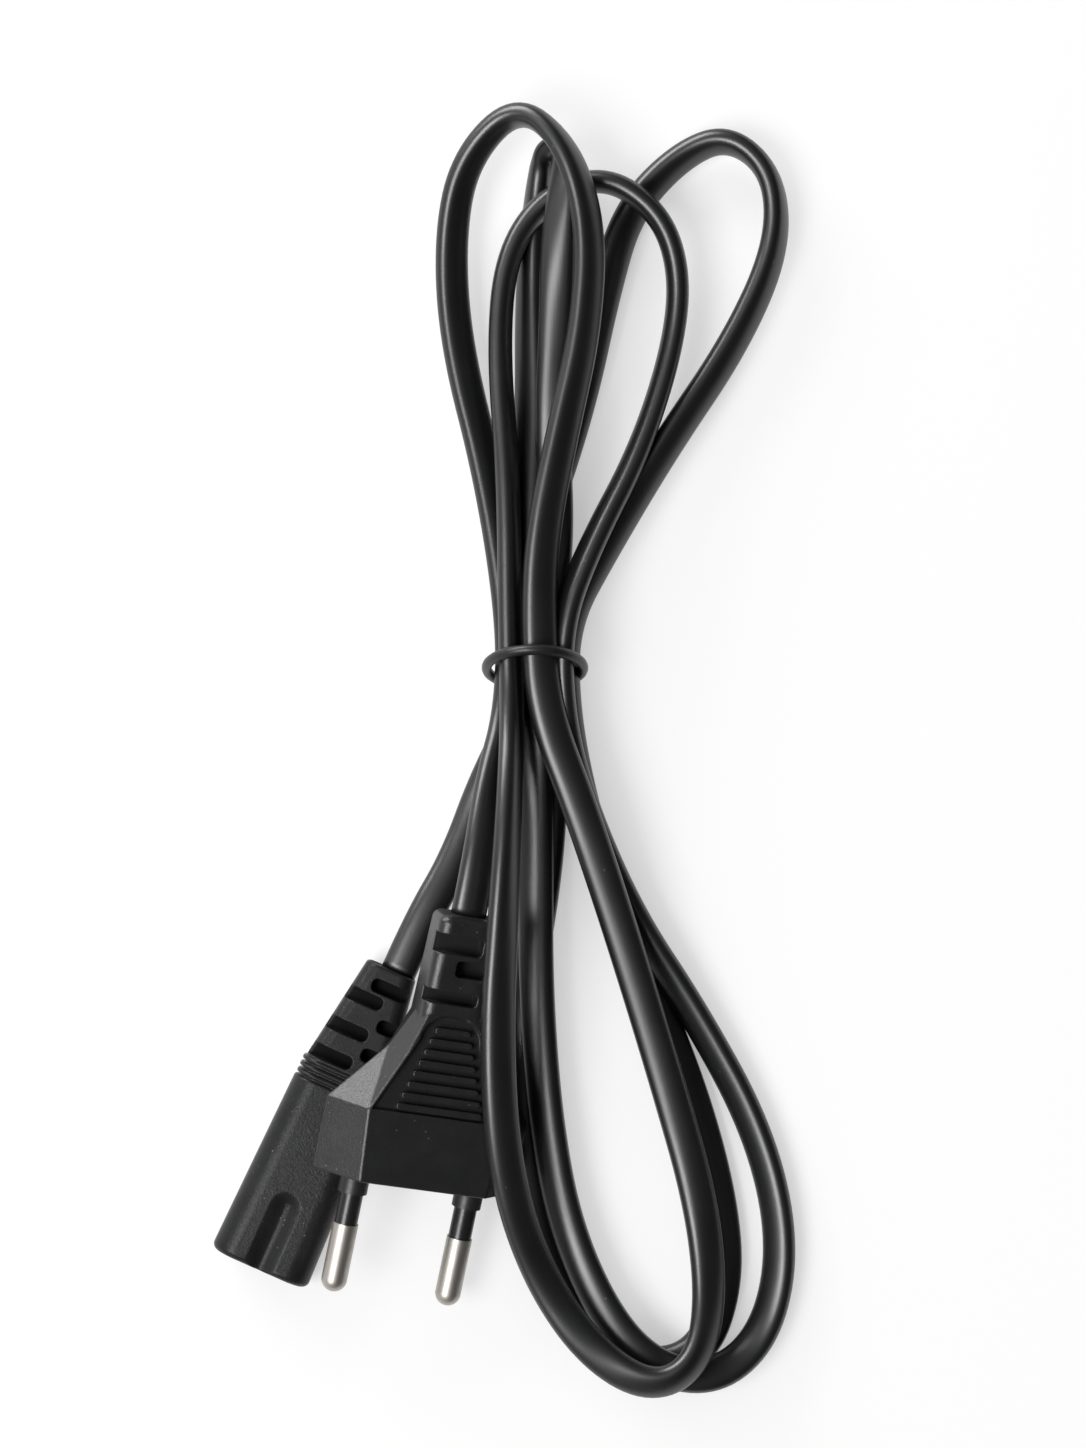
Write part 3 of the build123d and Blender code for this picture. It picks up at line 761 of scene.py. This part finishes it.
def connector_painted_shade(finish, spot):
    """Mask of painted shade: the floors of the slots in the connector's strain relief, which narrows towards
    its tail.
    """
    across, along, up = (finish.axis(spot, name) for name in "XYZ")
    inside = 1 - finish.step(abs(across) + 0.153 * along, 11.2, 11.6)
    return inside * finish.step(along, 33.6, 34.0) * (1 - finish.step(abs(up), 1.5, 2.7))


def nose_grain(finish, spot):
    """Leather grain on the broad sides of the connector's nose, strongest in the middle."""
    across, along = (finish.axis(spot, name) for name in "XY")
    inside = finish.step(across, -5.5, -1.0) * (1 - finish.step(across, 6.0, 8.0))
    return inside * finish.step(along, 3.0, 13.0) * (1 - finish.step(along, 22.0, 28.0))


class LEAD_OT_tie_ring(bpy.types.Operator):
    """Put the tie ring round the waist of the hank"""

    bl_idname = "lead.tie_ring"
    bl_label = "Tie Ring"

    def execute(self, context):
        settings = context.scene.lead_ring
        builder = bmesh.new()
        reach = (settings.half_width + settings.half_tall) / 2
        upright = Matrix.Rotation(math.radians(90), 4, "X")
        section = bmesh.ops.create_circle(builder, segments=TIE_SIDES, radius=settings.thick / 2)["verts"]
        bmesh.ops.transform(builder, matrix=Matrix.Translation((reach, 0, 0)) @ upright, verts=section)
        bmesh.ops.spin(
            builder, geom=builder.edges[:], cent=(0, 0, 0), axis=(0, 0, 1), angle=2 * math.pi,
            steps=TIE_STEPS, use_merge=True, use_duplicate=False,
        )
        bmesh.ops.transform(builder, matrix=upright, verts=builder.verts)
        oval = (settings.half_width / reach, 1, settings.half_tall / reach)
        bmesh.ops.scale(builder, vec=oval, verts=builder.verts)
        bmesh.ops.transform(builder, matrix=TIE_PLACE, verts=builder.verts)
        bmesh.ops.recalc_face_normals(builder, faces=builder.faces)
        mesh = bpy.data.meshes.new("ring")
        builder.to_mesh(mesh)
        builder.free()
        mesh.shade_smooth()
        finished("ring", mesh, rubber_finish(settings.colour), "tie", "tie_ring")
        return {"FINISHED"}


class LEAD_OT_plug_body(bpy.types.Operator):
    """Mould the plug body: six-sided front, faceted neck, ribbed grip panels and slotted strain relief"""

    bl_idname = "lead.plug_body"
    bl_label = "Plug Body"

    def execute(self, context):
        settings = context.scene.lead_plug
        body = self.hull(settings)
        combined(body, self.relief(), "UNION")
        for side in (0, 180):
            flip = Matrix.Rotation(math.radians(side), 4, "Y")
            combined(body, self.panel(settings, flip), "DIFFERENCE")
            combined(body, self.slots(flip), "DIFFERENCE")
            combined(body, self.ribs(settings, flip), "UNION")
        combined(body, block(*PLUG_POCKET), "DIFFERENCE")
        finish = moulding_finish("plug_pvc", settings.colour, PLUG_PLACE, plug_painted_shade, PLUG_SHEEN)
        moulded("plug_shell", body, PLUG_PLACE, finish, "moulding", "plug_body")
        return {"FINISHED"}

    def hull(self, settings):
        """The six-sided front and the neck, section by section, with the neck's facets split across."""
        builder = bmesh.new()
        wide, top, high = settings.half_width, settings.half_top, settings.half_height
        corners = [(top, high), (wide, 0), (top, -high), (-top, -high), (-wide, 0), (-top, high)]
        front = builder.faces.new([builder.verts.new((x, 0, z)) for x, z in corners])
        face = front
        for y, half_width, half_top, half_height in (self.shoulder(settings), *PLUG_NECK):
            face = grown(builder, face, front)
            for vert in face.verts:
                ridge = abs(vert.co.z) < 0.01
                vert.co.x = math.copysign(half_width if ridge else half_top, vert.co.x)
                vert.co.z = 0 if ridge else math.copysign(half_height, vert.co.z)
                vert.co.y = y
        self.split_facets(builder, settings)
        builder.normal_update()
        ridges = [edge for edge in builder.edges if edge.calc_face_angle(0) > RIDGE_ANGLE]
        rounded(builder, ridges, RIDGE_ROUNDING, 3)
        return solid(builder)

    def shoulder(self, settings):
        """The section where the six-sided front ends and the neck begins."""
        return (settings.front, settings.half_width, settings.half_back, settings.half_height)

    def split_facets(self, builder, settings):
        """Split each side of the neck from the corner of the broad side to the ridge behind it."""

        def stands(vert, y, broad):
            return abs(vert.co.y - y) < 0.01 and (abs(vert.co.z) > 1) == broad

        for face in builder.faces[:]:
            near = [vert for vert in face.verts if stands(vert, settings.front, True)]
            far = [vert for vert in face.verts if stands(vert, PLUG_NECK[0][0], False)]
            ends = near + far
            if len(face.verts) == 4 and len(ends) == 2:
                bmesh.ops.connect_verts(builder, verts=ends)

    def relief(self):
        builder = bmesh.new()
        tapered_box(builder, *PLUG_RELIEF)
        rounded(builder, rim_of(builder, lambda y: y > PLUG_TAIL - 0.01), PLUG_TAIL_ROUNDING, 6)
        return solid(builder)

    def panel(self, settings, flip):
        """Cutter of a grip panel: a wedge with a round top, on the slope of the broad side."""
        builder = bmesh.new()
        floor = arched(builder, PANEL_FOOT, PANEL_ARCH, PANEL_STEPS)
        bmesh.ops.translate(builder, vec=(0, 0, -PANEL_DEPTH), verts=floor.verts)
        top = grown(builder, floor, floor)
        bmesh.ops.translate(builder, vec=(0, 0, PANEL_DEPTH + PANEL_ABOVE), verts=top.verts)
        bmesh.ops.transform(builder, matrix=flip @ self.slope(settings), verts=builder.verts)
        return solid(builder)

    def slope(self, settings):
        """The matrix that lays a panel on the sloping broad side."""
        drop = math.atan2(settings.half_height - PLUG_NECK[-1][3], PLUG_NECK[-1][0] - settings.front)
        at = Matrix.Translation((0, settings.front, settings.half_height))
        return at @ Matrix.Rotation(-drop, 4, "X")

    def ribs(self, settings, flip):
        """Round-topped ribs across a panel, shorter towards its top."""
        builder = bmesh.new()
        for rib in range(settings.ribs):
            along = RIB_FIRST + RIB_STEP * rib
            half = RIB_HALF - RIB_LOSS * RIB_STEP * rib
            low = (-half, along - RIB_THICK, -PANEL_DEPTH - RIB_ROOT)
            rounded_box(builder, low, (half, along + RIB_THICK, RIB_ABOVE), *RIB_ROUNDING)
        bmesh.ops.transform(builder, matrix=flip @ self.slope(settings), verts=builder.verts)
        return solid(builder)

    def slots(self, flip):
        builder = bmesh.new()
        for left, right, near, far in PLUG_SLOTS:
            low = (left, PLUG_LENGTH - far, PLUG_SLOT_FLOOR)
            rounded_box(builder, low, (right, PLUG_LENGTH - near, SLOT_TOP), PLUG_SLOT_ROUNDING)
        bmesh.ops.transform(builder, matrix=flip, verts=builder.verts)
        return solid(builder)


class LEAD_OT_pins(bpy.types.Operator):
    """Give the plug's pins, sleeves and hard insert their finishes"""

    bl_idname = "lead.pins"
    bl_label = "Pins"

    def execute(self, context):
        settings = context.scene.lead_plug
        repaint(self.nickel(settings.metal), "plug_pin_left", "plug_pin_right")
        repaint(self.hard_plastic("sleeve_plastic", 0.012, 0.3), "pin_sleeve_left", "pin_sleeve_right")
        repaint(self.hard_plastic("insert_plastic", 0.016, 0.42), "pin_bridge", "connector_core")
        return {"FINISHED"}

    def nickel(self, metal):
        """Nickel plate: fine turning lines round the pin, cloudy handling marks."""
        finish = Finish("pin_nickel", metal, 0.25, Metallic=1.0)
        spot = finish.spot(PLUG_PLACE)
        lines = finish.node(
            "ShaderNodeTexNoise", {"noise_dimensions": "1D"},
            {"W": finish.axis(spot, "Y"), "Scale": 9.0, "Detail": 3.0},
        )
        cloud = finish.noise(spot, 0.5, 4.0, 0.6)
        finish.set(
            Base_Color=finish.mix(cloud, shaded(metal, 1.0), shaded(metal, 0.78)),
            Roughness=0.36 + 0.06 * lines + 0.14 * cloud,
            Normal=finish.bump(lines, 0.05, 0.02),
        )
        return finish

    def hard_plastic(self, name, level, roughness):
        """Hard black plastic with a faintly uneven gloss."""
        finish = Finish(name, (level, level, level), roughness)
        skin = finish.noise(finish.spot(), 1.1, 3.0)
        finish.set(Roughness=roughness - 0.08 + 0.16 * skin, Normal=finish.bump(skin, 0.12, 0.05))
        return finish


class LEAD_OT_connector_body(bpy.types.Operator):
    """Mould the connector body: waisted nose, rings and a strain relief with staggered slots"""

    bl_idname = "lead.connector_body"
    bl_label = "Connector Body"

    def execute(self, context):
        settings = context.scene.lead_connector
        body = self.nose(settings)
        combined(body, block(settings.nose - NECK_INSIDE, *CONNECTOR_NECK), "UNION")
        for ring in range(settings.rings):
            combined(body, self.ring(settings.nose + RING_FIRST + RING_STEP * ring), "UNION")
        combined(body, self.relief(), "UNION")
        for side in (0, 180):
            flip = Matrix.Rotation(math.radians(side), 4, "Y")
            combined(body, self.waist(settings, flip), "DIFFERENCE")
            combined(body, self.slots(flip), "DIFFERENCE")
        combined(body, block(*CONNECTOR_POCKET), "DIFFERENCE")
        finish = moulding_finish(
            "connector_pvc", context.scene.lead_plug.colour, CONNECTOR_PLACE, connector_painted_shade,
            CONNECTOR_SHEEN, nose_grain,
        )
        moulded(
            "connector_shell", body, CONNECTOR_PLACE, finish, "moulding", "connector_body",
            weld=CONNECTOR_WELD,
        )
        return {"FINISHED"}

    def nose(self, settings):
        builder = bmesh.new()
        front = (settings.width, settings.height)
        tapered_box(builder, 0, settings.nose, front, NOSE_BACK, NOSE_ROUNDING, 9)
        rounded(builder, rim_of(builder, lambda y: y < 0.01), NOSE_FRONT_ROUNDING, 5)
        rounded(builder, rim_of(builder, lambda y: y > settings.nose - 0.01), NOSE_BACK_ROUNDING, 2)
        return solid(builder)

    def ring(self, start):
        builder = bmesh.new()
        tapered_box(builder, start, start + RING_LENGTH, RING_SECTION, RING_SECTION, RING_ROUNDING, 7)
        rounded(builder, cross_edges(builder), RING_EDGE_ROUNDING, 3)
        return solid(builder)

    def relief(self):
        builder = bmesh.new()
        tapered_box(builder, *CONNECTOR_RELIEF)
        rounded(builder, cross_edges(builder), CONNECTOR_RELIEF_ROUNDING, 3)
        return solid(builder)

    def waist(self, settings, flip):
        """Cutter of the groove between the nose's two halves: a valley with soft sides and a round end."""
        builder = bmesh.new()
        floor = arched(builder, (1, -GROOVE_REACH), (1, 1, 0), GROOVE_STEPS)
        face, wide = floor, 1.0
        for level, (half, above) in enumerate(GROOVE):
            if level:
                face = grown(builder, face, floor)
            for vert in face.verts:
                vert.co.x *= half / wide
                vert.co.y *= half / wide if vert.co.y > -0.01 else 1
                vert.co.z = above
            wide = half
        at = Matrix.Translation((0, GROOVE_END, settings.height / 2))
        bmesh.ops.transform(builder, matrix=flip @ at, verts=builder.verts)
        return solid(builder)

    def slots(self, flip):
        builder = bmesh.new()
        for left, right, from_tail in CONNECTOR_SLOTS:
            middle = CONNECTOR_LENGTH - from_tail
            low = (left, middle - CONNECTOR_SLOT_HALF, CONNECTOR_SLOT_FLOOR)
            high = (right, middle + CONNECTOR_SLOT_HALF, SLOT_TOP)
            rounded_box(builder, low, high, CONNECTOR_SLOT_ROUNDING)
        bmesh.ops.transform(builder, matrix=flip, verts=builder.verts)
        return solid(builder)


class LEAD_OT_inner_parts(bpy.types.Operator):
    """Give the contacts and the wires inside the mouldings their finishes"""

    bl_idname = "lead.inner_parts"
    bl_label = "Inner Parts"

    def execute(self, context):
        repaint(self.brass(context.scene.lead_connector.brass), "contact_left", "contact_right")
        for name, colour in (("brown", (0.2, 0.09, 0.04)), ("blue", (0.03, 0.12, 0.42))):
            repaint(self.insulation(name, colour), f"plug_wire_{name}", f"connector_wire_{name}")
        return {"FINISHED"}

    def brass(self, colour):
        """Spring brass, cloudy with age."""
        finish = Finish("contact_brass", colour, 0.3, Metallic=1.0)
        cloud = finish.noise(finish.spot(), 0.9, 4.0)
        aged = finish.mix(cloud, shaded(colour, 1.0), shaded(colour, 0.7))
        finish.set(Base_Color=aged, Roughness=0.22 + 0.25 * cloud)
        return finish

    def insulation(self, name, colour):
        """Smooth wire insulation with a faintly uneven gloss."""
        finish = Finish(f"insulation_{name}", colour, 0.35)
        skin = finish.noise(finish.spot(), 1.6, 3.0)
        finish.set(Roughness=0.28 + 0.16 * skin, Normal=finish.bump(skin, 0.1, 0.04))
        return finish


class LEAD_OT_stage(bpy.types.Operator):
    """Set the floor, the lamps and the camera above the lead"""

    bl_idname = "lead.stage"
    bl_label = "Stage"

    def execute(self, context):
        settings = context.scene.lead_stage
        self.floor(settings)
        self.sky(context.scene, settings)
        self.lamp("key_lamp", *KEY_LAMP, settings.key_power)
        self.lamp("back_lamp", *BACK_LAMP, settings.back_power)
        self.camera(context.scene, settings)
        context.scene.view_settings.view_transform = "Standard"
        return {"FINISHED"}

    def floor(self, settings):
        builder = bmesh.new()
        bmesh.ops.create_grid(builder, x_segments=1, y_segments=1, size=FLOOR_HALF)
        bmesh.ops.translate(builder, vec=(0, 0, FLOOR_LEVEL), verts=builder.verts)
        mesh = bpy.data.meshes.new("floor")
        builder.to_mesh(mesh)
        builder.free()
        mesh.materials.append(self.white(settings.floor).material)
        made = bpy.data.objects.new("floor", mesh)
        bpy.context.scene.collection.objects.link(made)

    def white(self, colour):
        """A floor that shows white, keeps the lead's real shadow and adds painted shade from ambient
        occlusion, deepest where the lead touches it.
        """
        finish = Finish("floor_white", colour, 0.9, Specular_IOR_Level=0.0)
        seen = finish.node("ShaderNodeLightPath", out="Is Camera Ray")
        for ray in ("Is Glossy Ray", "Is Transmission Ray"):
            seen = seen | finish.node("ShaderNodeLightPath", out=ray)
        glow = finish.node("ShaderNodeEmission", None, {"Color": (1, 1, 1, 1), "Strength": 1.0})
        lit = Value(finish, finish.shader.outputs[0])
        # Painted shade: ambient occlusion lowers the white glow near the lead, darkening the floor where the
        # lead touches it
        near = finish.node("ShaderNodeAmbientOcclusion", {"samples": 8}, {"Distance": NEAR_SHADE}, out="AO")
        mixed = finish.node("ShaderNodeMixShader", None, {0: seen * (0.32 + 0.48 * near), 1: lit, 2: glow})
        finish.feed(finish.tree.nodes["Material Output"].inputs["Surface"], mixed)
        return finish

    def sky(self, scene, settings):
        """Even light that fades from left to right, and white where the camera looks past the floor."""
        world = bpy.data.worlds.new("studio")
        world.use_nodes = True
        graph = Graph(world.node_tree)
        side = graph.axis(graph.node("ShaderNodeTexCoord", out="Generated"), "X")
        fade = {
            "Value": side, "From Min": -0.5, "From Max": 0.4, "To Min": settings.sky, "To Max": settings.shade
        }
        seen = graph.node("ShaderNodeLightPath", out="Is Camera Ray")
        strength = {"Value": seen, "To Min": graph.node("ShaderNodeMapRange", None, fade)}
        back = world.node_tree.nodes["Background"]
        graph.feed(back.inputs["Color"], (1, 1, 1, 1))
        graph.feed(back.inputs["Strength"], graph.node("ShaderNodeMapRange", None, strength))
        scene.world = world

    def lamp(self, name, at, size, power):
        data = bpy.data.lights.new(name, "AREA")
        data.shape = "RECTANGLE"
        data.size, data.size_y = size
        data.energy = power
        made = bpy.data.objects.new(name, data)
        made.location = at
        made.rotation_euler = (-Vector(at)).to_track_quat("-Z", "Y").to_euler()
        bpy.context.scene.collection.objects.link(made)

    def camera(self, scene, settings):
        data = bpy.data.cameras.new("camera")
        data.lens = settings.lens
        data.clip_start = 0.01
        made = bpy.data.objects.new("camera", data)
        made.location = (*VIEW_OVER, settings.height)
        scene.collection.objects.link(made)
        scene.camera = made


class LEAD_PT_sidebar(bpy.types.Panel):
    """The pieces of the lead"""

    bl_idname = "LEAD_PT_sidebar"
    bl_label = "Mains Lead"
    bl_space_type = "VIEW_3D"
    bl_region_type = "UI"
    bl_category = "Lead"

    def draw(self, context):
        for operator in PIECES:
            self.layout.operator(operator.bl_idname)
        for group in GROUPS:
            settings = getattr(context.scene, group)
            for name in settings.__annotations__:
                self.layout.prop(settings, name)


GROUPS = {
    "lead_flex": FlexSettings,
    "lead_ring": RingSettings,
    "lead_plug": PlugSettings,
    "lead_connector": ConnectorSettings,
    "lead_stage": StageSettings,
}
PIECES = (
    LEAD_OT_stage, LEAD_OT_connector_body, LEAD_OT_flex, LEAD_OT_tie_ring,
    LEAD_OT_plug_body, LEAD_OT_pins, LEAD_OT_inner_parts,
)
CLASSES = (*GROUPS.values(), *PIECES, LEAD_PT_sidebar)


def register():
    for made in CLASSES:
        bpy.utils.register_class(made)
    for name, group in GROUPS.items():
        setattr(bpy.types.Scene, name, PointerProperty(type=group))


def unregister():
    for name in GROUPS:
        delattr(bpy.types.Scene, name)
    for made in reversed(CLASSES):
        bpy.utils.unregister_class(made)


def main():
    register()
    bpy.ops.lead.stage()
    bpy.ops.lead.connector_body()
    bpy.ops.lead.flex()
    bpy.ops.lead.tie_ring()
    bpy.ops.lead.plug_body()
    bpy.ops.lead.pins()
    bpy.ops.lead.inner_parts()


if __name__ == "__main__":
    main()
